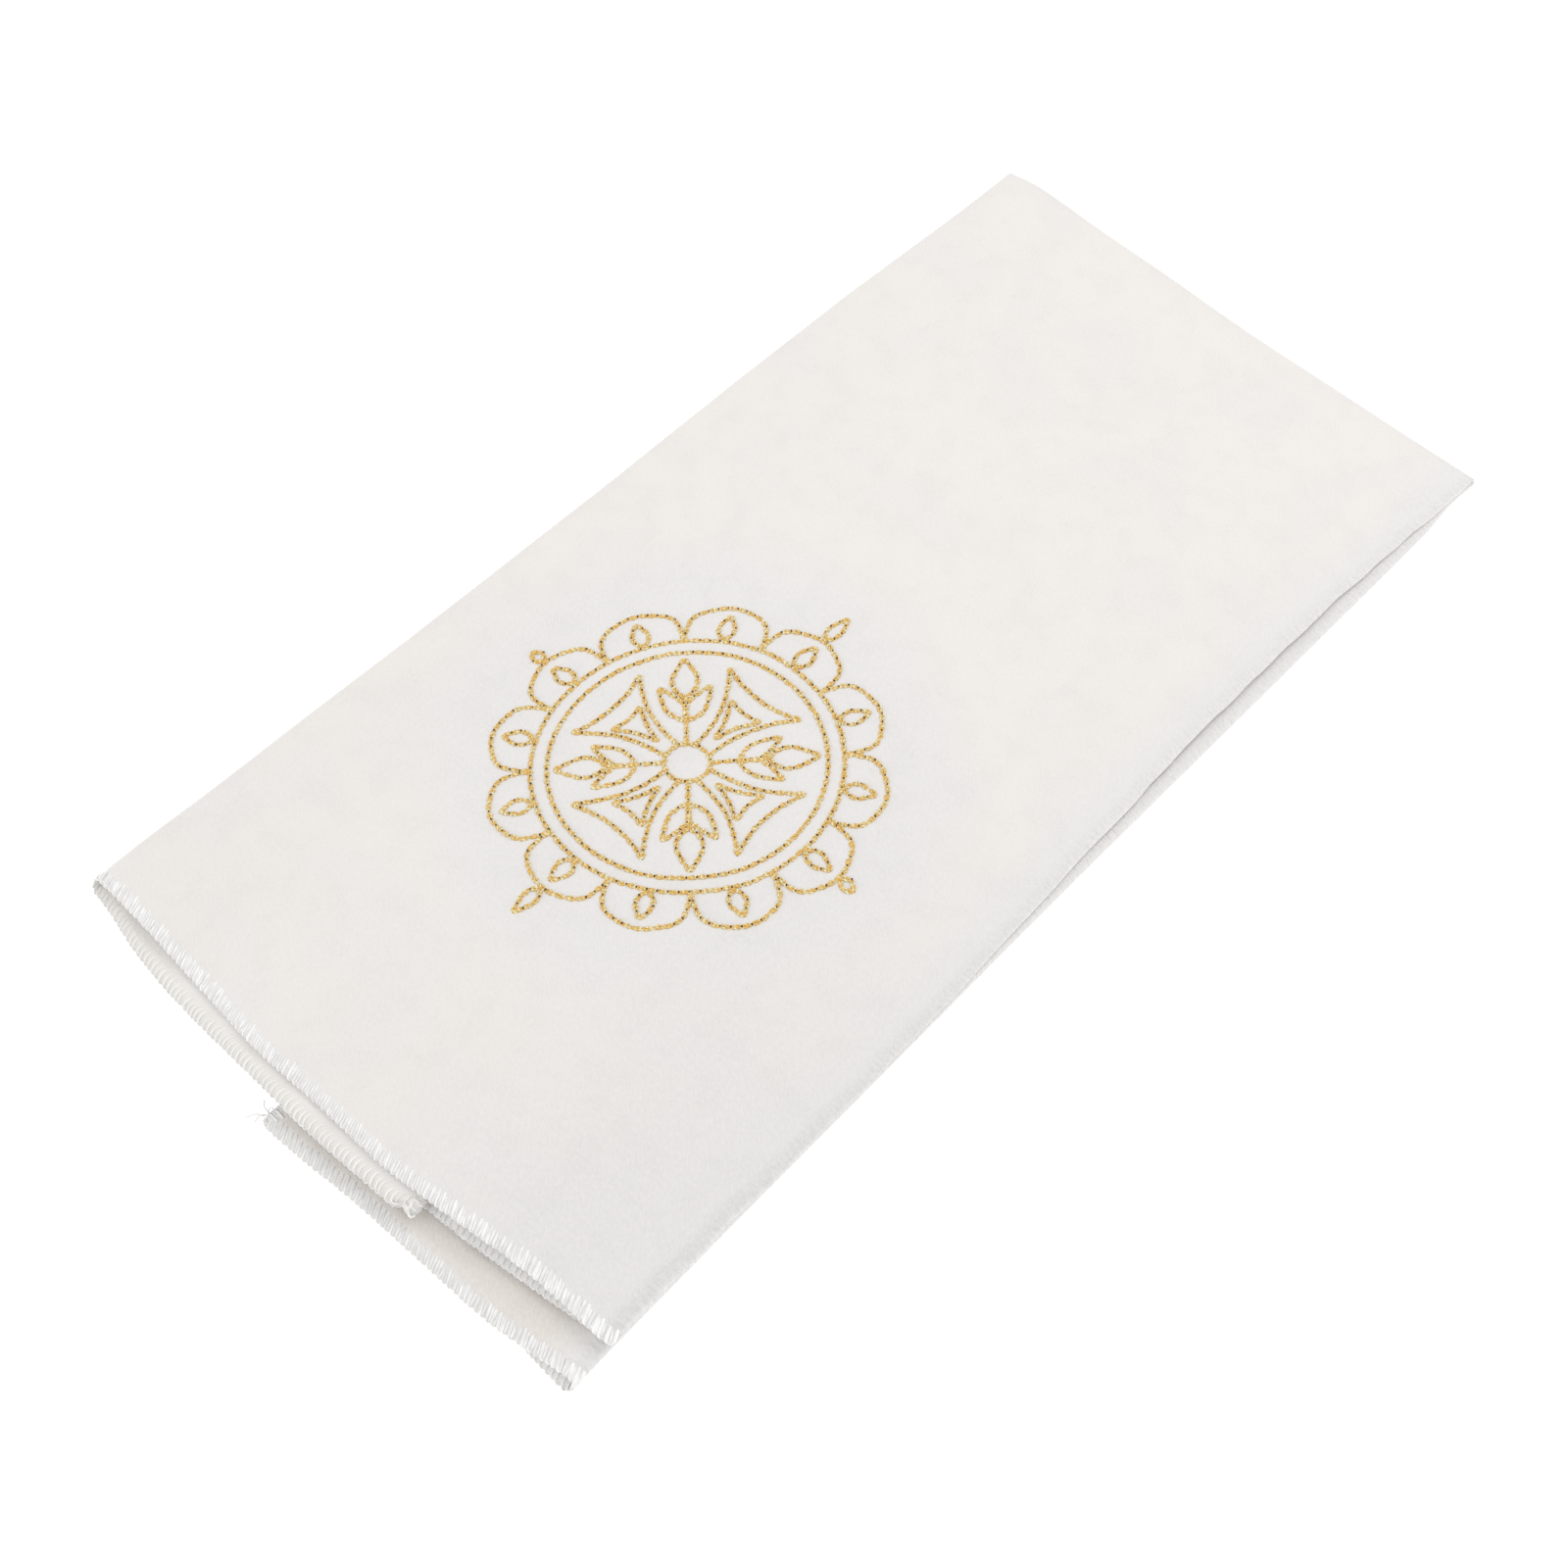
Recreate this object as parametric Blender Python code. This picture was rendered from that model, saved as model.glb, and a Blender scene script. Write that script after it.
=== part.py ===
"""Purificator: a plain rectangle of altar cloth, folded in thirds along its length and then in half across it.

Across, the sheet starts at the free edge of the left flap, turns at the left fold, crosses the main panel, turns
at the right fold and ends at the free edge of the right flap. Along, it starts at the front hem of the upper half,
turns over at the far end and comes back to the front hem of the lower half. So the folded stack has six layers
where the flaps overlap and four elsewhere, and its upper layers rise over the overlap in a soft crown.

Sizes are in millimetres. X runs across the stack, +Y away from the hems and +Z up. The underside lies on Z = 0.
"""

import math
from collections import namedtuple

import bpy

MM = 0.001

# The cloth and how closely its layers lie.
CLOTH_THICKNESS = 1.0
LEAST_GAP = 0.38
LAYER_PITCH = CLOTH_THICKNESS + LEAST_GAP
FOLD_RADIUS = LAYER_PITCH / 2

# The sides of the stack at seven even places along it, from the front to the far end, and the far end at five even
# places from the left side.
ALONG_REACH = 135.0
LEFT_SIDE = (-64.3, -63.8, -62.9, -62.5, -62.5, -62.2, -62.2)
RIGHT_SIDE = (64.5, 63.7, 63.3, 62.7, 62.4, 62.3, 62.3)
FAR_END = (132.6, 130.4, 127.8, 126.5, 126.3)
FAR_CORNER_ROUNDING = 1.0
FAR_CORNER_REACH = 4.0

# The two halves don't match: at the same seven places, how far each one draws in from the sides. Behind the middle
# the lower half reaches further out to the right than the upper one.
UPPER_RIGHT_INSET = (0.1, 0.1, 0.3, 1.1, 2.1, 1.6, 0.0)
LOWER_RIGHT_INSET = (0.4, 0.5, 0.5, 0.3, 0.0, 0.0, 0.0)
LOWER_LEFT_INSET = (0.3, 0.3, 0.5, 1.0, 1.4, 0.8, 0.0)

# How far the two flaps reach past the middle, and how the layers above settle beyond their free edges.
LEFT_FLAP_EDGE = 24.2
RIGHT_FLAP_EDGE = -7.7
SETTLING_RUN = 32.0
EDGE_CLEARANCE = 1.5

# The front hem of each layer, as its distance in front of the middle at nine even places from the left side.
HEMS = {
    "upper panel": (120.0, 120.8, 122.2, 124.0, 124.1, 124.4, 123.1, 121.1, 121.1),
    "upper left flap": (121.5, 124.7, 126.5, 127.6, 128.3, 128.1, 127.7, 126.8, 125.9),
    "upper right flap": (123.9, 124.2, 124.5, 124.7, 124.8, 124.4, 123.9, 122.2, 120.4),
    "lower right flap": (131.5, 131.6, 131.8, 131.9, 131.9, 131.1, 131.0, 130.6, 128.4),
    "lower left flap": (119.9, 120.7, 121.5, 123.5, 125.5, 126.1, 126.2, 126.0, 125.6),
    "lower panel": (119.3, 119.7, 120.3, 122.2, 124.5, 126.4, 127.8, 128.9, 130.1),
}

# The layers lie tight beside the far fold and are looser towards the hems. Each swell adds a share of the layer
# pitch round one place.
TIGHT_RUN = 20.0
LOOSENING_RUN = 60.0
Swell = namedtuple("Swell", "place x y reach_x reach_y share")
SWELLS = (
    Swell("front hems", 0.0, -137.0, 150.0, 50.0, 0.10),
    Swell("open right corner", 53.0, -125.0, 24.0, 32.0, 0.22),
    Swell("left fold", -63.0, -40.0, 14.0, 100.0, 0.20),
    Swell("left front corner", -55.0, -121.0, 20.0, 22.0, 0.12),
    Swell("over the left flap's edge", 20.0, -58.0, 24.0, 60.0, 0.06),
    Swell("middle of the panel", -12.0, 32.0, 36.0, 40.0, 0.06),
    Swell("right fold", 61.0, 10.0, 10.0, 90.0, 0.14),
)

# Faces along each run of the sheet.
PANEL_STEPS = 18
SIDE_FOLD_STEPS = 6
UPPER_STEPS = 15
FAR_FOLD_STEPS = 8
LOWER_STEPS = 12

LINEN_WHITE = (0.86, 0.85, 0.82, 1.0)
LINEN_ROUGHNESS = 0.9


def clear_scene():
    """Removes every object that the scene starts with."""
    for old in list(bpy.data.objects):
        bpy.data.objects.remove(old, do_unlink=True)


def mix(first, second, share):
    return first + (second - first) * share


def ease(value):
    """A smooth step from 0 to 1, level at both ends."""
    held = min(max(value, 0.0), 1.0)
    return held * held * (3 - 2 * held)


def curve_through(values, across):
    """A smooth curve through evenly spaced values, read at a place from -1 to 1."""
    place = (across + 1) / 2 * (len(values) - 1)
    index = min(max(int(place), 0), len(values) - 2)
    part = place - index
    before = values[max(index - 1, 0)]
    first, second = values[index], values[index + 1]
    after = values[min(index + 2, len(values) - 1)]
    slope_in, slope_out = (second - before) / 2, (after - first) / 2
    rise = second - first
    bend = 3 * rise - 2 * slope_in - slope_out
    return first + part * (slope_in + part * (bend + part * (slope_in + slope_out - 2 * rise)))


def hem_distance(layer, across):
    """How far in front of the middle a layer's hem lies."""
    return curve_through(HEMS[layer], across)


def side_positions(y, half):
    """The left and right sides of the upper or the lower half at a distance along the stack."""
    place = min(max(y / ALONG_REACH, -1.0), 1.0)
    left = curve_through(LEFT_SIDE, place)
    right = curve_through(RIGHT_SIDE, place)
    if half == "upper":
        return left, right - curve_through(UPPER_RIGHT_INSET, place)
    return left + curve_through(LOWER_LEFT_INSET, place), right - curve_through(LOWER_RIGHT_INSET, place)


def left_flap_share(x):
    """1 where the left flaps lie under the upper layers, easing to 0 beyond their free edge."""
    return 1 - ease((x - LEFT_FLAP_EDGE - EDGE_CLEARANCE) / SETTLING_RUN)


def right_flap_share(x):
    """1 where the right flaps lie under the upper layers, easing to 0 beyond their free edge."""
    return 1 - ease((RIGHT_FLAP_EDGE - EDGE_CLEARANCE - x) / SETTLING_RUN)


def looseness(x, y):
    """The share by which the layer pitch grows at a place. It fades out before the far fold."""
    fade = ease((FAR_END[-1] - TIGHT_RUN - y) / LOOSENING_RUN)
    total = 0.0
    for swell in SWELLS:
        off = ((x - swell.x) / swell.reach_x) ** 2 + ((y - swell.y) / swell.reach_y) ** 2
        total += swell.share * math.exp(-off)
    return total * fade


def layer_heights(x, y):
    """The middle height of each layer over a place on the table."""
    left = left_flap_share(x)
    right = right_flap_share(x)
    pitch = LAYER_PITCH * (1 + looseness(x, y))
    steps_up = {
        "lower panel": 0,
        "lower left flap": 1,
        "lower right flap": 1 + left,
        "upper right flap": 2 + left,
        "upper left flap": 2 + 2 * right,
        "upper panel": 1 + 2 * right + 2 * left,
    }
    return {layer: CLOTH_THICKNESS / 2 + pitch * count for layer, count in steps_up.items()}


def far_fold_line(across, x):
    """Where along the stack the far fold begins. All its layers turn about this line, one inside the other."""
    end = curve_through(FAR_END, across)
    left, _ = side_positions(end, "upper")
    rounding = FAR_CORNER_ROUNDING * math.exp(-(((x - left) / FAR_CORNER_REACH) ** 2))
    heights = layer_heights(x, end)
    outer_radius = (heights["upper panel"] - heights["lower panel"]) / 2
    return end - rounding - outer_radius - CLOTH_THICKNESS / 2


HALVES = ("upper", "lower")


class Column:
    """One line along the sheet: where it lies across, and between which layers it lies in each half."""

    def __init__(self, across, from_layers, to_layers, turn=0.0, side=0):
        self.across = across
        self.from_layers = from_layers
        self.to_layers = to_layers
        self.turn = turn
        self.side = side

    def place_across(self, y, half):
        """The X position at a distance along the stack. A column in a side fold lies on its half circle."""
        left, right = side_positions(y, half)
        x = mix(left + FOLD_RADIUS, right - FOLD_RADIUS, (self.across + 1) / 2)
        return x + self.side * FOLD_RADIUS * math.sin(self.turn)

    def height(self, y, half):
        """The height of this column in the upper or in the lower half."""
        place = HALVES.index(half)
        heights = layer_heights(self.place_across(y, half), y)
        first, second = heights[self.from_layers[place]], heights[self.to_layers[place]]
        return mix(first, second, (1 - math.cos(self.turn)) / 2)

    def hems(self):
        """The distance of this column's two hems in front of the middle."""
        share = self.turn / math.pi
        return [
            mix(hem_distance(first, self.across), hem_distance(second, self.across), share)
            for first, second in zip(self.from_layers, self.to_layers)
        ]

    def points(self):
        """The points of the sheet's middle surface along this column, from the upper hem to the lower one."""
        upper_hem, lower_hem = self.hems()
        end = curve_through(FAR_END, self.across)
        line = far_fold_line(self.across, self.place_across(end, "upper"))
        top, bottom = self.height(line, "upper"), self.height(line, "lower")
        radius, centre = (top - bottom) / 2, (top + bottom) / 2
        route = []
        for step in range(UPPER_STEPS):
            y = mix(-upper_hem, line, step / UPPER_STEPS)
            route.append((self.place_across(y, "upper"), y, self.height(y, "upper")))
        for step in range(FAR_FOLD_STEPS + 1):
            share = step / FAR_FOLD_STEPS
            x = mix(self.place_across(line, "upper"), self.place_across(line, "lower"), share)
            angle = math.pi * share
            route.append((x, line + radius * math.sin(angle), centre + radius * math.cos(angle)))
        for step in range(1, LOWER_STEPS + 1):
            y = mix(line, -lower_hem, step / LOWER_STEPS)
            route.append((self.place_across(y, "lower"), y, self.height(y, "lower")))
        return route


def across_at(x):
    """The place from -1 to 1 of an X position near the middle of the stack."""
    left, right = side_positions(0.0, "upper")
    return 2 * (x - left - FOLD_RADIUS) / (right - left - 2 * FOLD_RADIUS) - 1


def flap_places(free_edge, side):
    """The places across of a flap's columns, from its free edge to its fold. They match the panel's."""
    edge = across_at(free_edge)
    step = 2 / PANEL_STEPS
    shared = [side * (1 - index * step) for index in range(PANEL_STEPS + 1)]
    kept = [place for place in shared if side * (place - edge) > step / 3]
    return [edge] + kept[::-1]


def sheet_columns():
    """All the columns of the sheet, from the free edge of the left flap to that of the right flap."""
    left_flap = ("upper left flap", "lower left flap")
    panel = ("upper panel", "lower panel")
    right_flap = ("upper right flap", "lower right flap")
    columns = [Column(place, left_flap, left_flap) for place in flap_places(LEFT_FLAP_EDGE, -1)]
    for step in range(1, SIDE_FOLD_STEPS):
        columns.append(Column(-1, left_flap, panel, math.pi * step / SIDE_FOLD_STEPS, side=-1))
    for step in range(PANEL_STEPS + 1):
        columns.append(Column(-1 + 2 * step / PANEL_STEPS, panel, panel))
    for step in range(1, SIDE_FOLD_STEPS):
        columns.append(Column(1, panel, right_flap, math.pi * step / SIDE_FOLD_STEPS, side=1))
    columns += [Column(place, right_flap, right_flap) for place in flap_places(RIGHT_FLAP_EDGE, 1)[::-1]]
    return columns


def sheet_mesh(name):
    """The sheet's middle surface as one grid of faces."""
    routes = [column.points() for column in sheet_columns()]
    rows = len(routes[0])
    points = [(x * MM, y * MM, z * MM) for route in routes for x, y, z in route]
    faces = []
    for column in range(len(routes) - 1):
        for row in range(rows - 1):
            corner = column * rows + row
            faces.append((corner, corner + rows, corner + rows + 1, corner + 1))
    mesh = bpy.data.meshes.new(name)
    mesh.from_pydata(points, [], faces)
    mesh.validate()
    mesh.shade_smooth()
    return mesh


def cloth_material():
    """Bleached linen-like cloth."""
    material = bpy.data.materials.new("white_cloth")
    material.use_nodes = True
    shader = material.node_tree.nodes["Principled BSDF"]
    shader.inputs["Base Color"].default_value = LINEN_WHITE
    shader.inputs["Roughness"].default_value = LINEN_ROUGHNESS
    shader.inputs["Metallic"].default_value = 0.0
    return material


def fold_cloth():
    """The folded sheet: its middle surface, thickened by half the cloth on each side."""
    cloth = bpy.data.objects.new("folded_cloth", sheet_mesh("folded_cloth"))
    bpy.context.scene.collection.objects.link(cloth)
    cloth.data.materials.append(cloth_material())
    thicken = cloth.modifiers.new("cloth thickness", "SOLIDIFY")
    thicken.thickness = CLOTH_THICKNESS * MM
    thicken.offset = 0.0
    thicken.use_even_offset = True
    thicken.use_quality_normals = True
    return cloth


clear_scene()
fold_cloth()
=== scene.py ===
"""The looks of a folded purificator: a thin white cloth with overlocked edges and gold linework on its top.

Sizes are named in millimetres and turned into metres where a mesh is made. X runs across the stack, +Y away
from its front hems and +Z up from the table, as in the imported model.
"""

import math
import random
from collections import namedtuple

import bpy
import numpy as np
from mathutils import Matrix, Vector, noise


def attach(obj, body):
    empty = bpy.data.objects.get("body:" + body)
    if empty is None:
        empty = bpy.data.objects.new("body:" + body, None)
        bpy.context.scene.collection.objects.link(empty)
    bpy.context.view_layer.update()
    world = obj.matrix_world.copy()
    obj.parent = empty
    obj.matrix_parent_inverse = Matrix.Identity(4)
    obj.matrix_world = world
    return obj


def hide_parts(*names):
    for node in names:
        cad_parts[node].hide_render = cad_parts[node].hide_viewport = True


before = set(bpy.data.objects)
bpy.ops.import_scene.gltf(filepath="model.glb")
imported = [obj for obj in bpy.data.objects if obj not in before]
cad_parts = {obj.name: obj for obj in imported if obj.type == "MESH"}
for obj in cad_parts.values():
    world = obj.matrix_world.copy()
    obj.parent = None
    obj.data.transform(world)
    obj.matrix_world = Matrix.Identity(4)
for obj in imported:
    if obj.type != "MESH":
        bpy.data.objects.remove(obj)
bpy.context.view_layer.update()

# The folded cloth
# One rectangle of bleached linen and cotton, folded in thirds along its length and then in half across it.
# It is one thin closed sheet on the folds of its solid: tight at the far fold, loose and uneven at the hems.

MM = 0.001
CLOTH = 0.42
# From one layer to the next: tight along the far fold, then looser over a run towards the hems.
LOOSE_PITCH, FAR_PITCH = 1.49, 0.62
TIGHT_RUN, LOOSENING_RUN = 2.0, 62.0

# Sides of the stack at seven even places along it, from the front to the far end, and how far each half draws
# in from them. Beyond the middle the lower half was folded a little further out to the right than the upper.
ALONG_REACH, HALF_WIDTH = 135.0, 62.0
LEFT_SIDE = (-64.3, -63.8, -62.9, -62.5, -62.5, -62.2, -62.3)
RIGHT_SIDE = (64.5, 63.7, 63.3, 62.7, 62.4, 62.3, 62.1)
UPPER_RIGHT_INSET = (0.1, 0.1, 0.6, 1.7, 2.9, 2.4, 0.2)
LOWER_RIGHT_INSET = (0.3, 0.4, 0.5, 0.3, 0.0, 0.0, 0.0)
LOWER_LEFT_INSET = (0.3, 0.3, 0.5, 1.0, 1.6, 1.0, 0.0)
# The upper half's right side wavers, and the pressed folds there turn at these shares of the loose radius.
FOLD_WAVER, FOLD_WAVER_LENGTH, FOLD_WAVER_SEED = 0.35, 7.0, 8.5
PRESSED_RADIUS = {"upper": 0.42, "lower": 0.8}
# Close to the far fold the lower half is tucked in under the upper one.
TUCK_Y, TUCK_REACH, TUCK = 119.0, 6.0, 0.8
FAR_END = (133.1, 130.8, 128.1, 126.9, 126.8)
FAR_CORNER_ROUNDING, FAR_CORNER_REACH = 1.1, 4.0

# Free edges of the two flaps, and the run over which the layers above settle beyond them.
LEFT_FLAP_EDGE, RIGHT_FLAP_EDGE = 24.2, -7.7
SETTLING_RUN = 32.0
EDGE_CLEARANCE = 1.5

# The front hem of each layer: its distance in front of the middle, at nine even places from the left side.
HEMS = {
    "upper panel": (119.8, 120.6, 122.0, 123.8, 123.9, 124.2, 122.9, 120.9, 120.9),
    "upper left flap": (121.3, 124.5, 126.3, 127.4, 128.1, 127.9, 127.5, 126.6, 125.7),
    "upper right flap": (123.7, 124.0, 124.3, 124.5, 124.6, 124.2, 123.7, 122.0, 120.2),
    "lower right flap": (131.3, 131.4, 131.6, 131.7, 131.7, 130.9, 130.8, 130.4, 128.2),
    "lower left flap": (119.7, 120.5, 121.3, 123.3, 125.3, 125.9, 126.0, 125.8, 125.4),
    "lower panel": (119.1, 119.5, 120.1, 122.0, 124.3, 126.2, 127.6, 128.7, 129.9),
}
Swell = namedtuple("Swell", "place x y reach_x reach_y share")
SWELLS = (
    Swell("front hems", 0.0, -137.0, 150.0, 50.0, 0.06),
    Swell("open right corner", 53.0, -125.0, 24.0, 32.0, 0.20),
    Swell("left fold", -63.0, -40.0, 14.0, 100.0, 0.16),
    Swell("left front corner", -55.0, -121.0, 20.0, 22.0, 0.16),
    Swell("over the left flap's edge", 20.0, -58.0, 24.0, 60.0, 0.06),
    Swell("middle of the panel", -12.0, 32.0, 36.0, 40.0, 0.06),
    Swell("right fold", 61.0, 10.0, 10.0, 90.0, 0.10),
)
# Broad and fine unevenness, as shares of the layer pitch, with the size of each wave across and along.
Wave = namedtuple("Wave", "across along share seed")
WAVES = (Wave(34.0, 52.0, 0.13, 3.1), Wave(15.0, 19.0, 0.045, 7.7), Wave(6.5, 8.0, 0.012, 12.3))
# Each free hem sinks towards the layer under it and waves a little.
HEM_DROOP = {"upper panel": 0.92, "upper left flap": 0.45, "upper right flap": 0.35, "lower right flap": 0.30}
HEM_WAVE = {"upper panel": 0.34, "upper left flap": 0.34}
HEM_WAVE_LENGTH, HEM_WAVE_SEED, HEM_REACH = 10.0, 31.0, 8.0
# The edging thread under the lowest hem lifts the whole stack there.
THREAD_UNDER_HEM, THREAD_LIFT_FROM, THREAD_LIFT_RUN = 0.22, 108.0, 14.0
# At the left front corner the fold stands open: the upper panel lifts and the flap under it sinks.
MOUTH_X, MOUTH_Y, MOUTH_REACH = -58.4, -120.0, 17.0
MOUTH_SHIFT = {"upper panel": 0.75, "upper left flap": -0.25}

# Beside a side fold the layers shift by a share of the gap between two of them: at the front so that the
# folds are full and touch each other, and further back, on the right, so that they are pressed flat.
Fold = namedtuple("Fold", "x full pressed")
SIDE_FOLDS = {
    "lower left flap": Fold(-64.0, 0.34, 0.34),
    "upper left flap": Fold(-64.0, -0.34, -0.34),
    "lower right flap": Fold(64.0, 0.44, -0.30),
    "upper right flap": Fold(64.0, -0.44, -1.26),
    "upper panel": Fold(64.0, -0.10, -2.05),
}
# How far from the fold the shift reaches, where along it the full shape begins, and where it turns pressed.
FOLD_REACH = 7.5
FULL_FROM, FULL_RUN = -125.0, 14.0
PRESSED_FROM, PRESSED_RUN = -112.0, 62.0
# The flaps' free corners are rounded off at the hems.
CORNER_ROUND = 2.6

# The gold work stands here on the upper panel, and its stitches draw the cloth round them into small puckers.
# The puckers fade out beyond it, at these shares of its reach.
GOLD_X, GOLD_Y, GOLD_REACH = -3.0, -32.0, 43.0
PUCKER_SHARE, PUCKER_SIZE, PUCKER_SEED = 0.05, 5.2, 21.0
PUCKER_END, PUCKER_FADE = 1.25, 0.4

# Columns across a panel and round a side fold, and rows along each half and round the far fold.
PANEL_STEPS, SIDE_FOLD_STEPS = 64, 8
UPPER_STEPS, FAR_FOLD_STEPS, LOWER_STEPS = 92, 10, 62


def mix(first, second, share):
    return first + (second - first) * share


def ease(value):
    held = min(max(value, 0.0), 1.0)
    return held * held * (3 - 2 * held)


def curve_through(values, across):
    """A smooth curve through evenly spaced values, read at a place from -1 to 1."""
    place = (across + 1) / 2 * (len(values) - 1)
    index = min(max(int(place), 0), len(values) - 2)
    part = place - index
    before = values[max(index - 1, 0)]
    first, second = values[index], values[index + 1]
    after = values[min(index + 2, len(values) - 1)]
    slope_in, slope_out = (second - before) / 2, (after - first) / 2
    rise = second - first
    bend = 3 * rise - 2 * slope_in - slope_out
    return first + part * (slope_in + part * (bend + part * (slope_in + slope_out - 2 * rise)))


def hem_distance(layer, across):
    return curve_through(HEMS[layer], across)


def side_positions(y, half):
    """The left and right sides of the upper or the lower half."""
    place = min(max(y / ALONG_REACH, -1.0), 1.0)
    left, right = curve_through(LEFT_SIDE, place), curve_through(RIGHT_SIDE, place)
    if half == "upper":
        waver = FOLD_WAVER * noise.noise(Vector((y / FOLD_WAVER_LENGTH, FOLD_WAVER_SEED, 0.0)))
        return left, right - curve_through(UPPER_RIGHT_INSET, place) + waver
    tuck = TUCK * math.exp(-(((y - TUCK_Y) / TUCK_REACH) ** 2))
    left += curve_through(LOWER_LEFT_INSET, place)
    right -= curve_through(LOWER_RIGHT_INSET, place)
    return left, right - tuck


def far_distance(x, y):
    """How far a place lies in front of the far fold."""
    left, right = side_positions(y, "upper")
    across = min(max(2 * (x - left) / (right - left) - 1, -1.0), 1.0)
    return curve_through(FAR_END, across) - y


def layer_pitch(x, y):
    """The height from one layer to the next at a place."""
    loose = ease((far_distance(x, y) - TIGHT_RUN) / LOOSENING_RUN)
    growth = 1.0
    for swell in SWELLS:
        off = ((x - swell.x) / swell.reach_x) ** 2 + ((y - swell.y) / swell.reach_y) ** 2
        growth += swell.share * math.exp(-off)
    for wave in WAVES:
        growth += wave.share * noise.noise(Vector((x / wave.across, y / wave.along, wave.seed)))
    off = math.hypot(x - GOLD_X, y - GOLD_Y) / GOLD_REACH
    pucker = PUCKER_SHARE * ease((PUCKER_END - off) / PUCKER_FADE)
    growth += pucker * noise.noise(Vector((x / PUCKER_SIZE, y / PUCKER_SIZE, PUCKER_SEED)))
    return mix(FAR_PITCH, LOOSE_PITCH * growth, loose)


def layer_counts(x):
    """How many layers lie under each layer at a place across."""
    left = 1 - ease((x - LEFT_FLAP_EDGE - EDGE_CLEARANCE) / SETTLING_RUN)
    right = 1 - ease((RIGHT_FLAP_EDGE - EDGE_CLEARANCE - x) / SETTLING_RUN)
    return {
        "lower panel": 0.0,
        "lower left flap": 1.0,
        "lower right flap": 1 + left,
        "upper right flap": 2 + left,
        "upper left flap": 2 + 2 * right,
        "upper panel": 1 + 2 * right + 2 * left,
    }


def layer_height(layer, x, y):
    """The height of the middle of a layer's cloth over a place on the table."""
    height = CLOTH / 2 + layer_pitch(x, y) * layer_counts(x)[layer]
    height += THREAD_UNDER_HEM * ease((-y - THREAD_LIFT_FROM) / THREAD_LIFT_RUN)
    behind_hem = y + hem_distance(layer, min(max(x / HALF_WIDTH, -1.0), 1.0))
    fade = math.exp(-((max(behind_hem, 0.0) / HEM_REACH) ** 2))
    wave = noise.noise(Vector((x / HEM_WAVE_LENGTH, HEM_WAVE_SEED + len(layer), 0.0)))
    height += fade * (HEM_WAVE.get(layer, 0.0) * wave - HEM_DROOP.get(layer, 0.0))
    open_share = math.exp(-((x - MOUTH_X) ** 2 + (y - MOUTH_Y) ** 2) / MOUTH_REACH**2)
    height += open_share * MOUTH_SHIFT.get(layer, 0.0)
    if layer in SIDE_FOLDS:
        fold = SIDE_FOLDS[layer]
        beside = math.exp(-(((x - fold.x) / FOLD_REACH) ** 2)) * ease((y - FULL_FROM) / FULL_RUN)
        shift = mix(fold.full, fold.pressed, ease((y - PRESSED_FROM) / PRESSED_RUN))
        height += shift * beside * (layer_pitch(x, y) - CLOTH)
    return height


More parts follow.
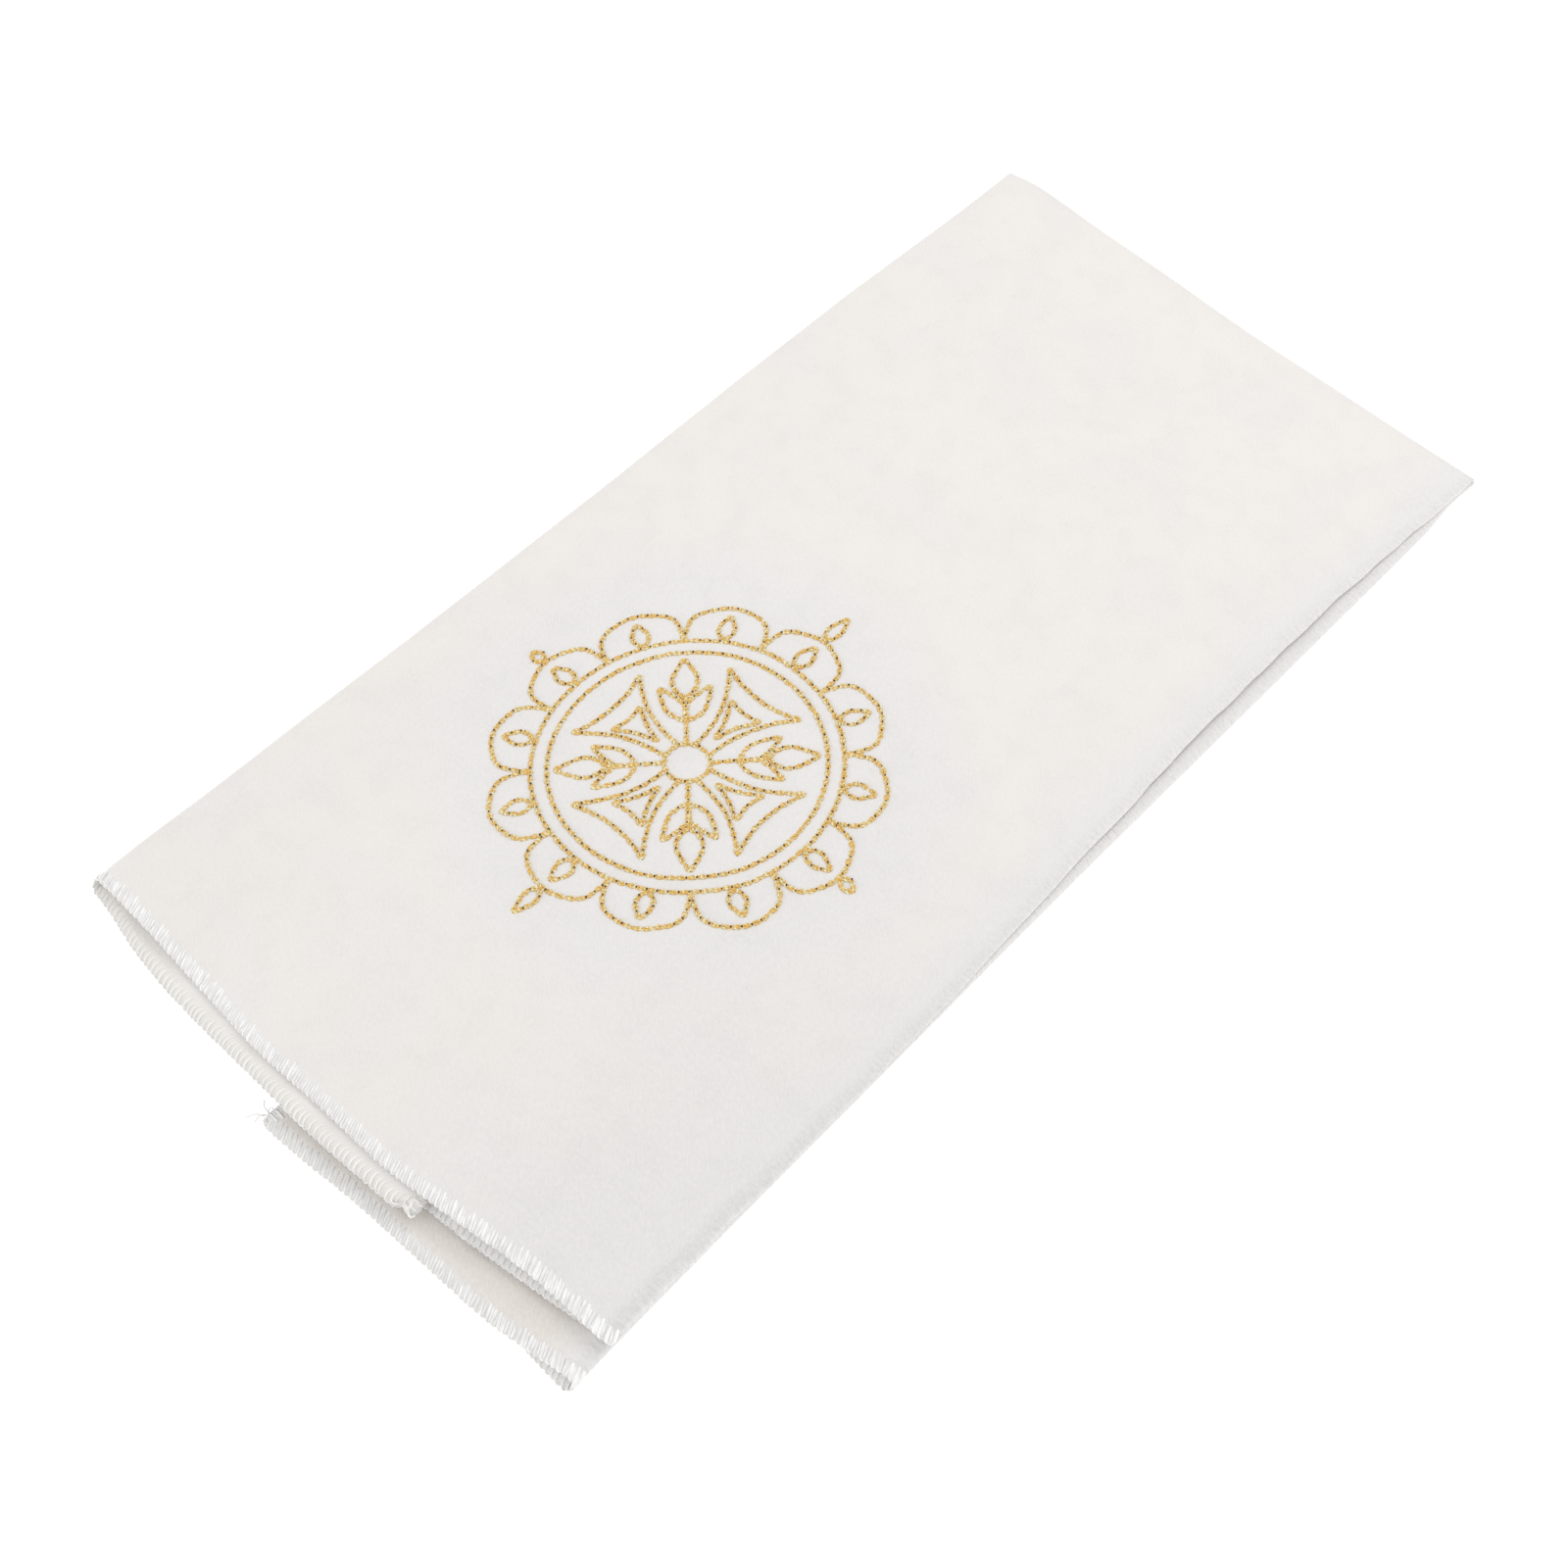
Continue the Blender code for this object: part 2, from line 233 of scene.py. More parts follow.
class Column:
    """One line along the sheet: its place across, the layers it lies between in each half, and its turn."""

    def __init__(self, across, from_layers, to_layers, turn=0.0, side=0):
        self.across = across
        self.from_layers = from_layers
        self.to_layers = to_layers
        self.turn = turn
        self.side = side

    def place_across(self, y, half):
        left, right = side_positions(y, half)
        left_radius = layer_pitch(left, y) * 0.5
        tightness = mix(1.0, PRESSED_RADIUS[half], ease((y - PRESSED_FROM) / PRESSED_RUN))
        right_radius = layer_pitch(right, y) * 0.5 * tightness
        x = mix(left + left_radius, right - right_radius, (self.across + 1) / 2)
        radius = left_radius if self.side < 0 else right_radius
        return x + self.side * radius * math.sin(self.turn)

    def height(self, y, half):
        place = 0 if half == "upper" else 1
        x = self.place_across(y, half)
        first = layer_height(self.from_layers[place], x, y)
        second = layer_height(self.to_layers[place], x, y)
        return mix(first, second, (1 - math.cos(self.turn)) / 2)

    def hem(self, place):
        """How far in front of the middle this column ends, drawn back where a flap's corner is rounded."""
        first = hem_distance(self.from_layers[place], self.across)
        second = hem_distance(self.to_layers[place], self.across)
        drawn_back = 0.0
        if self.from_layers == self.to_layers and "flap" in self.from_layers[0]:
            free_edge = LEFT_FLAP_EDGE if "left" in self.from_layers[0] else RIGHT_FLAP_EDGE
            from_corner = abs(self.place_across(-first, "upper") - free_edge)
            part = max(1 - from_corner / CORNER_ROUND, 0.0)
            drawn_back = CORNER_ROUND * (1 - math.sqrt(1 - min(part, 1.0) ** 2))
        return mix(first, second, self.turn / math.pi) - drawn_back

    def fold_line(self):
        """Where the far fold begins, and the height and radius at which this column turns round it."""
        end = curve_through(FAR_END, self.across)
        left, _ = side_positions(end, "upper")
        x = self.place_across(end, "upper")
        rounding = FAR_CORNER_ROUNDING * math.exp(-(((x - left) / FAR_CORNER_REACH) ** 2))
        outer = (layer_height("upper panel", x, end) - layer_height("lower panel", x, end)) / 2
        line = end - rounding - outer - CLOTH / 2
        top, bottom = self.height(line, "upper"), self.height(line, "lower")
        return line, (top + bottom) / 2, (top - bottom) / 2

    def points(self):
        """The column's route from the upper half's hem, round the far fold, to the lower half's hem."""
        line, centre, radius = self.fold_line()
        route = []
        for step in range(UPPER_STEPS):
            y = mix(-self.hem(0), line, step / UPPER_STEPS)
            route.append((self.place_across(y, "upper"), y, self.height(y, "upper")))
        for step in range(FAR_FOLD_STEPS + 1):
            angle = math.pi * step / FAR_FOLD_STEPS
            x = mix(self.place_across(line, "upper"), self.place_across(line, "lower"), step / FAR_FOLD_STEPS)
            route.append((x, line + radius * math.sin(angle), centre + radius * math.cos(angle)))
        for step in range(1, LOWER_STEPS + 1):
            y = mix(line, -self.hem(1), step / LOWER_STEPS)
            route.append((self.place_across(y, "lower"), y, self.height(y, "lower")))
        return route


def across_at(x):
    left, right = side_positions(0.0, "upper")
    return 2 * (x - left) / (right - left) - 1


def flap_places(free_edge, side):
    """The places across of a flap's columns, from its free edge to its fold."""
    edge = across_at(free_edge)
    step = 2 / PANEL_STEPS
    shared = [side * (1 - index * step) for index in range(PANEL_STEPS + 1)]
    kept = [place for place in shared if side * (place - edge) > step / 3]
    return [edge] + kept[::-1]


def sheet_columns():
    """All the columns of the sheet, from the free edge of the left flap to that of the right flap."""
    left_flap = ("upper left flap", "lower left flap")
    panel = ("upper panel", "lower panel")
    right_flap = ("upper right flap", "lower right flap")
    columns = [Column(place, left_flap, left_flap) for place in flap_places(LEFT_FLAP_EDGE, -1)]
    for step in range(1, SIDE_FOLD_STEPS):
        columns.append(Column(-1, left_flap, panel, math.pi * step / SIDE_FOLD_STEPS, side=-1))
    for step in range(PANEL_STEPS + 1):
        columns.append(Column(-1 + 2 * step / PANEL_STEPS, panel, panel))
    for step in range(1, SIDE_FOLD_STEPS):
        columns.append(Column(1, panel, right_flap, math.pi * step / SIDE_FOLD_STEPS, side=1))
    columns += [Column(place, right_flap, right_flap) for place in flap_places(RIGHT_FLAP_EDGE, 1)[::-1]]
    return columns


def run_lengths(points):
    """The distance run so far at each point of a line."""
    steps = np.linalg.norm(np.diff(points, axis=0), axis=1)
    return np.concatenate([[0.0], np.cumsum(steps)])


def mesh_piece(name, points, faces, flat, material):
    """A mesh object from points in millimetres, with a UV map that holds each point's flat place."""
    mesh = bpy.data.meshes.new(name)
    mesh.from_pydata((np.asarray(points) * MM).tolist(), [], faces)
    corners = np.empty(len(mesh.loops), np.int32)
    mesh.loops.foreach_get("vertex_index", corners)
    flat_map = mesh.uv_layers.new(name="flat")
    flat_map.data.foreach_set("uv", np.asarray(flat, np.float32)[corners].ravel())
    mesh.materials.append(material)
    mesh.shade_smooth()
    piece = bpy.data.objects.new(name, mesh)
    bpy.context.scene.collection.objects.link(piece)
    return piece


class Wire:
    """A value on its way through a material's nodes, so that its sums read as plain expressions."""

    def __init__(self, tree, socket=None):
        self.tree = tree
        self.socket = socket

    def node(self, kind, settings=None, sockets=None, output=0):
        """Adds a node: first its settings, then the values or wires of its sockets."""
        made = self.tree.nodes.new("ShaderNode" + kind)
        for name, value in (settings or {}).items():
            setattr(made, name, value)
        for name, value in (sockets or {}).items():
            if isinstance(value, Wire):
                self.tree.links.new(value.socket, made.inputs[name])
            else:
                made.inputs[name].default_value = value
        return Wire(self.tree, made.outputs[output])

    def maths(self, operation, first, second=0.0):
        return self.node("Math", {"operation": operation}, {0: first, 1: second})

    def __add__(self, other):
        return self.maths("ADD", self, other)

    __radd__ = __add__

    def __sub__(self, other):
        return self.maths("SUBTRACT", self, other)

    def __rsub__(self, other):
        return self.maths("SUBTRACT", other, self)

    def __mul__(self, other):
        return self.maths("MULTIPLY", self, other)

    __rmul__ = __mul__

    def between(self, low, high):
        """0 below the low value, 1 above the high one, and a smooth step between them."""
        settings = {"interpolation_type": "SMOOTHSTEP"}
        return self.node("MapRange", settings, {"Value": self, "From Min": low, "From Max": high})

    def tint(self, first, second):
        """A colour between two colours, by this share."""
        return self.node("Mix", {"data_type": "RGBA"}, {0: self, 6: first, 7: second}, output=2)


def new_material(name, roughness, sheen=0.0, metallic=0.0):
    """A named material, its shader, and a wire to start from."""
    material = bpy.data.materials.new(name)
    material.use_nodes = True
    tree = material.node_tree
    shader = tree.nodes["Principled BSDF"]
    shader.inputs["Roughness"].default_value = roughness
    shader.inputs["Metallic"].default_value = metallic
    shader.inputs["Sheen Weight"].default_value = sheen
    return material, shader, Wire(tree)


# Places on the flat cloth, in millimetres from its first column and row: the middle of the gold work, the
# opposite edges and the two side folds. The folds are read on a row well behind the hems.
ROW_BEHIND_HEMS = 30
sheet_places = np.array([column.points() for column in sheet_columns()])
column_count, row_count = sheet_places.shape[:2]
flat_across = run_lengths(sheet_places[:, row_count // 4])
flat_along = run_lengths(sheet_places[column_count // 2])
row_places = sheet_places[:, ROW_BEHIND_HEMS]
panel_column = int(np.argmin(np.abs(row_places[:, 0] - GOLD_X) - row_places[:, 2]))
panel_row = int(np.argmin(np.abs(sheet_places[panel_column, :UPPER_STEPS, 1] - GOLD_Y)))
GOLD_FLAT = (flat_across[panel_column], flat_along[panel_row])
FLAT_ENDS = (flat_across[-1], flat_along[-1])
RIGHT_FOLD_FLAT = flat_across[int(np.argmax(row_places[:, 0]))]
LEFT_FOLD_FLAT = flat_across[int(np.argmin(row_places[:, 0]))]

# Whites of the cloth, from its body to the places where it is worked or edged with thread, and painted
# shade beside the right fold, under the hems, towards the front right, on the flank and between the loops,
# with painted light on the upper left flap just behind its hem.
BODY_WHITE, CREAM_WHITE = (0.797, 0.771, 0.751, 1.0), (0.824, 0.786, 0.744, 1.0)
HOOPED_WHITE = (0.773, 0.760, 0.757, 1.0)
FOLD_SHADE_WHITE = (0.768, 0.762, 0.760, 1.0)
UNDER_HEM_SHADE_WHITE = (0.715, 0.668, 0.622, 1.0)
FRONT_SHADE_WHITE = (0.742, 0.730, 0.722, 1.0)
FLANK_SHADE_WHITE = (0.655, 0.655, 0.658, 1.0)
FLECK_WHITE = (0.855, 0.825, 0.795, 1.0)
EDGE_WHITE, LOOP_SHADE_WHITE = (0.84, 0.835, 0.82, 1.0), (0.79, 0.762, 0.715, 1.0)
PAINTED_LIGHT_WHITE = (0.90, 0.882, 0.86, 1.0)
WARP_APART, WEFT_APART = 0.38, 0.40


def cloth_material():
    """Bleached plain weave with a little slub, faintly cooler where it was hooped for the gold work."""
    material, shader, wire = new_material("white_cloth", roughness=0.88, sheen=0.18)
    shader.inputs["Sheen Roughness"].default_value = 0.6
    shader.inputs["Specular IOR Level"].default_value = 0.25
    flat = wire.node("UVMap", {"uv_map": "flat"})
    parts = wire.node("SeparateXYZ", sockets={0: flat})
    across, along = parts, Wire(wire.tree, parts.socket.node.outputs[1])

    warp = across.maths("SINE", across * (2 * math.pi / WARP_APART))
    weft = across.maths("SINE", along * (2 * math.pi / WEFT_APART))
    weave = warp * weft
    turned = wire.node("Mapping", sockets={"Vector": flat, "Rotation": (0.0, 0.0, math.radians(42.0))})
    streaked = wire.node("Mapping", sockets={"Vector": turned, "Scale": (0.8, 2.7, 1.0)})
    streaks = wire.node(
        "TexNoise", sockets={"Vector": streaked, "Scale": 1.0, "Detail": 2.0, "Roughness": 0.6}
    )
    slub_place = wire.node("Mapping", sockets={"Vector": flat, "Scale": (0.10, 2.4, 1.0)})
    slubs = wire.node("TexNoise", sockets={"Vector": slub_place, "Scale": 1.0, "Detail": 1.0})
    fuzz = wire.node("TexNoise", sockets={"Vector": flat, "Scale": 1.1, "Detail": 3.0, "Roughness": 0.7})
    cloudy = wire.node("TexNoise", sockets={"Vector": flat, "Scale": 0.028, "Detail": 2.0})
    blotched = wire.node(
        "TexNoise", sockets={"Vector": flat, "Scale": 0.052, "Detail": 3.0, "Distortion": 0.4}
    )
    patches = wire.node("TexNoise", sockets={"Vector": flat, "Scale": 0.16, "Detail": 1.0})

    off_across, off_along = across - GOLD_FLAT[0], along - GOLD_FLAT[1]
    off = wire.maths("SQRT", off_across * off_across + off_along * off_along)
    hooped = 1 - (off + cloudy * 14).between(46.0, 64.0)
    warm = blotched.between(0.36, 0.62)
    base = warm.tint(BODY_WHITE, CREAM_WHITE)
    cool = hooped.tint(base, HOOPED_WHITE)
    from_fold = wire.maths("ABSOLUTE", across - RIGHT_FOLD_FLAT)
    creased = 1 - from_fold.between(1.3, 3.4)
    crease_place = wire.node("Mapping", sockets={"Vector": flat, "Scale": (0.55, 1.3, 1.0)})
    creases = wire.node(
        "TexNoise", sockets={"Vector": crease_place, "Scale": 1.0, "Detail": 3.0, "Distortion": 0.6}
    )
    # Painted shade, a little cooler, beside the right fold where the panel rounds down.
    painted_fold_shade = (1 - from_fold.between(2.0, 12.0)) * 0.85
    fold_shaded = painted_fold_shade.tint(cool, FOLD_SHADE_WHITE)
    # Painted shade on the lower right flap just behind its hem, where the hems above it shade it.
    painted_hem_shade = across.between(RIGHT_FOLD_FLAT + 1.5, RIGHT_FOLD_FLAT + 10)
    painted_hem_shade = painted_hem_shade * along.between(FLAT_ENDS[1] - 22, FLAT_ENDS[1] - 9) * 0.85
    hem_shaded = painted_hem_shade.tint(fold_shaded, UNDER_HEM_SHADE_WHITE)
    # Painted shade: darker towards the front, and most towards the front right.
    at_front = 1 - along.between(0.0, 150.0)
    at_right = across.between(GOLD_FLAT[0] - 20, RIGHT_FOLD_FLAT)
    painted_front_shade = at_front * at_right * (at_right * 0.45 + 0.35) + at_front * 0.30
    front_shaded = painted_front_shade.tint(hem_shaded, FRONT_SHADE_WHITE)
    # Painted shade on the flank beside the right fold, at the front.
    painted_flank_shade = (1 - from_fold.between(0.5, 4.0)) * at_front * 0.55
    shaded = painted_flank_shade.tint(front_shaded, FLANK_SHADE_WHITE)
    grain = weave * patches.between(0.42, 0.64)
    flecks = (streaks * 0.55 + fuzz * 0.45 + grain * 0.05).between(0.30, 0.72)
    plain = (flecks * 0.6).tint(shaded, FLECK_WHITE)
    from_edge = wire.maths("MINIMUM", along, FLAT_ENDS[1] - along)
    from_edge = wire.maths("MINIMUM", from_edge, wire.maths("MINIMUM", across, FLAT_ENDS[0] - across))
    threaded = (from_edge * -1 + 2.9).between(0.0, 1.2) * 0.6
    face_edge = threaded.tint(plain, EDGE_WHITE)
    in_flap = 1 - across.between(LEFT_FOLD_FLAT - 1.0, LEFT_FOLD_FLAT + 2.0)
    # Painted shade, warm brown, between the wrong-side loops along the upper left flap's hem.
    painted_loop_shade = in_flap * (1 - along.between(2.2, 3.6)) * 0.5
    loop_shaded = painted_loop_shade.tint(face_edge, LOOP_SHADE_WHITE)
    # Painted light on the upper left flap just behind its hem, lifting the shadow of the upper panel's hem.
    painted_light_band = in_flap * along.between(2.0, 3.4) * (1 - along.between(8.0, 13.0)) * 0.75
    colour = painted_light_band.tint(loop_shaded, PAINTED_LIGHT_WHITE)
    wire.tree.links.new(colour.socket, shader.inputs["Base Color"])
    height = grain * 0.030 + streaks * 0.10 + slubs * 0.05 + fuzz * 0.10 + creases * creased * 0.9
    bump = wire.node("Bump", sockets={"Strength": 0.55, "Distance": 0.001, "Height": height})
    wire.tree.links.new(bump.socket, shader.inputs["Normal"])
    return material


def fold_cloth():
    """The folded sheet as one grid of faces, thickened by half the cloth on each side."""
    flat = [(across, along) for across in flat_across for along in flat_along]
    faces = []
    for column in range(column_count - 1):
        for row in range(row_count - 1):
            corner = column * row_count + row
            faces.append((corner, corner + row_count, corner + row_count + 1, corner + 1))
    cloth = mesh_piece("cloth_sheet", sheet_places.reshape(-1, 3), faces, flat, cloth_material())
    thicken = cloth.modifiers.new("cloth thickness", "SOLIDIFY")
    thicken.thickness = CLOTH * MM
    thicken.offset = 0.0
    thicken.use_even_offset = True
    thicken.use_quality_normals = True
    bpy.ops.object.select_all(action="DESELECT")
    bpy.context.view_layer.objects.active = cloth
    cloth.select_set(True)
    bpy.ops.object.modifier_apply(modifier=thicken.name)
    return cloth


cloth_sheet = fold_cloth()
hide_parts("folded_cloth")
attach(cloth_sheet, "root")


# The overlocked edges
# All four edges are overlocked with three soft white threads: close bright bars over the face, wrapped round
# the raw edge, and loose loops on the wrong side. Each edge is one mesh, and each stitch has three threads.

STITCH_PITCH = 1.22
STITCH_DEPTH = 2.75
FACE_SLANT, WRONG_SIDE_SLANT = 0.44, -0.12
THREAD_SIDES = 6
# A thread wraps the raw edge this far off the cloth's middle, and needs this much room between two layers to
# stand at its full height.
EDGE_WRAP, THREAD_ROOM = 0.09, 0.46
# The ends of the row as shares of a pitch, and how the stitches wander along the edge and differ by chance.
FIRST_STITCH, LAST_STITCH = 0.6, 0.4
WANDER_STEP, WANDER_ALONG, WANDER_DEPTH = 0.37, 0.34, 0.12
CHANCE_ALONG, CHANCE_SLANT = 0.14, 0.10
CHANCE_DEPTH, CHANCE_FULLNESS = (0.86, 1.05), (0.80, 1.22)
# The threads' UV maps lie this far apart by kind, so that the material can tell the dull loops from the bars.
THREAD_KIND_APART = 5000.0
# How full the thread lies along each hem, from the left flap's free edge to the right flap's: the share of
# the run and the fullness there. The bars are fat beside the right fold and thin over the middle of the hems.
FULLNESS = {
    "edging_upper_hem": (
        (0.0, 0.9), (0.38, 0.92), (0.48, 0.72), (0.60, 0.70), (0.69, 1.05), (0.75, 1.25), (1.0, 0.8),
    ),
    "edging_lower_hem": ((0.0, 0.85), (0.70, 0.90), (0.75, 1.25), (0.80, 0.95), (0.86, 0.62), (1.0, 0.55)),
    "edging_left_flap": ((0.0, 0.85), (1.0, 0.85)),
    "edging_right_flap": ((0.0, 0.85), (1.0, 0.85)),
}
# One stitch in three threads. For each point of a thread: how far in from the edge and how far along, as
# shares of the depth and the pitch, the side of the cloth (1 is its face), the height over that side, and the
# thread's half sizes.
Thread = namedtuple("Thread", "inward along side height wide tall")
FACE_BAR = (
    Thread(1.00, 0.00, 1, -0.12, 0.20, 0.08),
    Thread(0.93, 0.00, 1, 0.01, 0.28, 0.09),
    Thread(0.62, 0.02, 1, 0.03, 0.36, 0.10),
    Thread(0.30, 0.02, 1, 0.03, 0.35, 0.10),
    Thread(0.06, 0.05, 1, 0.02, 0.30, 0.10),
    Thread(-0.06, 0.18, 1, -0.07, 0.24, 0.12),
    Thread(-0.05, 0.50, -1, -0.07, 0.20, 0.11),
    Thread(0.12, 0.62, -1, -0.02, 0.14, 0.06),
)
FACE_RETURN = (
    Thread(-0.04, 0.46, 1, -0.06, 0.16, 0.10),
    Thread(0.10, 0.50, 1, -0.01, 0.22, 0.07),
    Thread(0.45, 0.54, 1, -0.01, 0.25, 0.07),
    Thread(0.78, 0.50, 1, -0.02, 0.20, 0.06),
    Thread(0.92, 0.50, 1, -0.10, 0.12, 0.05),
)
WRONG_SIDE_LOOP = (
    Thread(-0.05, 0.45, -1, -0.06, 0.20, 0.10),
    Thread(0.10, 0.76, -1, 0.00, 0.24, 0.04),
    Thread(0.42, 0.98, -1, 0.00, 0.27, 0.04),
    Thread(0.80, 0.82, -1, 0.00, 0.25, 0.035),
    Thread(1.00, 0.50, -1, -0.04, 0.18, 0.03),
)


def sweep(routes, wide_axes, half_sizes, sides):
    """Tubes along many routes of equally many points, each with its own widths: points, faces and UVs."""
    count, steps = routes.shape[:2]
    tangents = np.gradient(routes, axis=1)
    tangents /= np.linalg.norm(tangents, axis=2, keepdims=True)
    angles = 2 * math.pi * np.arange(sides) / sides
    rings = np.empty((count, steps, sides, 3))
    wide = wide_axes
    for step in range(steps):
        tangent = tangents[:, step]
        wide = wide - tangent * (wide * tangent).sum(axis=1, keepdims=True)
        wide = wide / np.linalg.norm(wide, axis=1, keepdims=True)
        tall = np.cross(tangent, wide)
        across = wide[:, None] * np.cos(angles)[None, :, None] * half_sizes[:, step, 0][:, None, None]
        over = tall[:, None] * np.sin(angles)[None, :, None] * half_sizes[:, step, 1][:, None, None]
        rings[:, step] = routes[:, step][:, None] + across + over
    lengths = np.linalg.norm(np.diff(routes, axis=1), axis=2).cumsum(axis=1)
    lengths = np.concatenate([np.zeros((count, 1)), lengths], axis=1)
    flat = np.empty((count, steps, sides, 2))
    flat[..., 0] = lengths[:, :, None] + 7.3 * np.arange(count)[:, None, None]
    flat[..., 1] = np.abs(np.arange(sides) / sides - 0.5)[None, None, :] * 2
    one_tube = []
    for step in range(steps - 1):
        for side in range(sides):
            after = (side + 1) % sides
            low, high = step * sides, (step + 1) * sides
            one_tube.append((low + side, low + after, high + after, high + side))
    caps = [tuple(range(sides))[::-1], tuple((steps - 1) * sides + side for side in range(sides))]
    faces = []
    for tube in range(count):
        start = tube * steps * sides
        faces += [tuple(start + corner for corner in face) for face in one_tube + caps]
    return rings.reshape(-1, 3), faces, flat.reshape(-1, 2)


def unit(vectors):
    return vectors / np.linalg.norm(vectors, axis=-1, keepdims=True)


def read_line(values, run, places):
    """The values of a line at many places along its run."""
    return np.stack([np.interp(places, run, values[:, axis]) for axis in range(3)], axis=-1)


def stitch_edge(name, edge, next_line, beside, seed, material):
    """One overlocked edge. Each point of a thread is placed from the cloth under it and follows its folds."""
    chance = np.random.default_rng(seed)
    run = run_lengths(edge)
    inward_line = unit(next_line - edge)
    face_line = unit(np.cross(inward_line, unit(np.gradient(edge, axis=0))) * beside)
    last = run[-1] - STITCH_PITCH * LAST_STITCH
    starts = np.arange(STITCH_PITCH * FIRST_STITCH, last, STITCH_PITCH)
    count = len(starts)
    wander = np.array([noise.noise(Vector((index * WANDER_STEP, seed, 0.0))) for index in range(count)])
    starts = starts + WANDER_ALONG * wander + chance.uniform(-CHANCE_ALONG, CHANCE_ALONG, count)
    depth = STITCH_DEPTH * (chance.uniform(*CHANCE_DEPTH, count) + WANDER_DEPTH * wander[::-1])
    slant = chance.uniform(-CHANCE_SLANT, CHANCE_SLANT, count)
    fullness = chance.uniform(*CHANCE_FULLNESS, count)
    fullness = fullness * np.interp(starts / run[-1], *zip(*FULLNESS[name]))
    places = read_line(edge, run, starts)
    room = np.array([max(layer_pitch(x, y) - CLOTH, 0.1) / 2 for x, y, _ in places])
    lift = np.minimum(room / THREAD_ROOM, 1.0)

    parts = []
    for kind, threads in enumerate((FACE_BAR, FACE_RETURN, WRONG_SIDE_LOOP)):
        inward, along, side, height, wide, tall = np.array(threads).T
        reach = inward * depth[:, None]
        lean = np.where(side > 0, FACE_SLANT, WRONG_SIDE_SLANT) + slant[:, None]
        beside_start = along * STITCH_PITCH - lean * np.maximum(reach, 0.0)
        at = np.clip(starts[:, None] - beside * beside_start, 0.0, run[-1])
        off = side * np.where(inward < 0, EDGE_WRAP, CLOTH / 2 + height * lift[:, None])
        face = unit(read_line(face_line, run, at))
        into = unit(read_line(inward_line, run, at))
        routes = read_line(edge, run, at) + into * reach[..., None] + face * off[..., None]
        grow = (lift * fullness)[:, None]
        sizes = np.stack([wide * fullness[:, None], tall * grow], axis=-1)
        points, faces, flat = sweep(routes, np.cross(into[:, 0], face[:, 0]), sizes, THREAD_SIDES)
        parts.append((points, faces, flat + (kind * THREAD_KIND_APART, 0.0)))
    points, faces, flat = join_parts(parts)
    piece = mesh_piece(name, points, faces, flat, material)
    # The loops come last and stay flat-shaded, because they are pressed thin.
    rounded = np.arange(len(faces)) < len(faces) - len(parts[-1][1])
    piece.data.polygons.foreach_set("use_smooth", rounded)
    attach(piece, "root")
    return piece


def join_parts(parts):
    """Points, faces and UVs of several parts as one."""
    faces, start = [], 0
    for points, part_faces, _ in parts:
        faces += [tuple(corner + start for corner in face) for face in part_faces]
        start += len(points)
    return np.concatenate([part[0] for part in parts]), faces, np.concatenate([part[2] for part in parts])


DULL_THREAD, BRIGHT_THREAD = (0.83, 0.822, 0.808, 1.0), (0.96, 0.957, 0.95, 1.0)
LOOP_THREAD = (0.93, 0.912, 0.875, 1.0)


def white_thread_material():
    """Soft bulked polyester thread, brighter and glossier than the cloth, its filaments lying along it."""
    material, shader, wire = new_material("white_thread", roughness=0.42, sheen=0.25)
    flat = wire.node("UVMap", {"uv_map": "flat"})
    drawn = wire.node("Mapping", sockets={"Vector": flat, "Scale": (0.9, 7.0, 1.0)})
    filaments = wire.node("TexNoise", sockets={"Vector": drawn, "Scale": 1.0, "Detail": 2.0})
    patchy = wire.node("TexNoise", sockets={"Vector": flat, "Scale": 0.37, "Detail": 1.0})
    white = patchy.between(0.38, 0.62).tint(DULL_THREAD, BRIGHT_THREAD)
    kind = wire.node("SeparateXYZ", sockets={0: flat})
    in_loop = kind.between(1.9 * THREAD_KIND_APART, 2.0 * THREAD_KIND_APART)
    colour = in_loop.tint(white, LOOP_THREAD)
    wire.tree.links.new(colour.socket, shader.inputs["Base Color"])
    wire.tree.links.new((filaments * 0.2 + 0.3).socket, shader.inputs["Roughness"])
    bump = wire.node("Bump", sockets={"Strength": 0.5, "Distance": 0.0001, "Height": filaments})
    wire.tree.links.new(bump.socket, shader.inputs["Normal"])
    return material


# Loose ends of thread at the free corners of the flaps: where each starts, its layer, the way it heads (90 is
# straight away from the hems), its length and how far it curls round. Each rises a little in its middle.
Tail = namedtuple("Tail", "x y layer heading length curl")
TAILS = (
    Tail(-7.2, -130.6, "lower right flap", 205.0, 3.6, 55.0),
    Tail(-7.0, -129.6, "lower right flap", 188.0, 2.8, -70.0),
    Tail(-7.1, -130.2, "lower right flap", 222.0, 2.4, 80.0),
    Tail(-6.6, -128.6, "lower right flap", 165.0, 2.2, 200.0),
    Tail(-6.2, -130.9, "lower right flap", 240.0, 2.0, -60.0),
    Tail(23.4, -126.2, "upper left flap", 285.0, 2.6, 120.0),
    Tail(22.9, -126.6, "upper left flap", 255.0, 2.2, -110.0),
    Tail(23.8, -124.6, "upper left flap", 320.0, 2.0, 140.0),
)
TAIL_POINTS, TAIL_THREAD = 9, 0.13
TAIL_RISE, TAIL_LANDING, TAIL_CLEAR = 0.34, 1.3, 0.1


